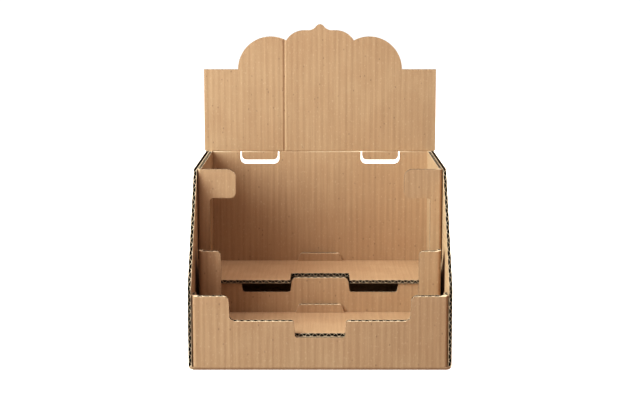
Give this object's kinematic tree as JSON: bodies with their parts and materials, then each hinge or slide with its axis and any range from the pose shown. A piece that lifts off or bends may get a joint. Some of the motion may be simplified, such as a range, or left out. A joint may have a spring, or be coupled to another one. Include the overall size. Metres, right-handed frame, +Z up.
{
  "type": "cardboard display stand",
  "caption": "Two-tier counter display stand folded from corrugated board, with a low notched front, sloped side walls and a tall scalloped header.",
  "frame": {"origin": "on the surface the stand rests on, under the middle of the case", "axes": "+Z up, +Y from the front panel to the back panel, +X to the right seen from the front"},
  "size_m": [0.3034, 0.297, 0.385],
  "materials": {
    "kraft_board": "matte"
  },
  "bodies": {
    "root": {"outer_case": "kraft_board", "riser_insert": "kraft_board", "lower_floor": "kraft_board", "upper_shelf": "kraft_board"}
  },
  "joints": []
}
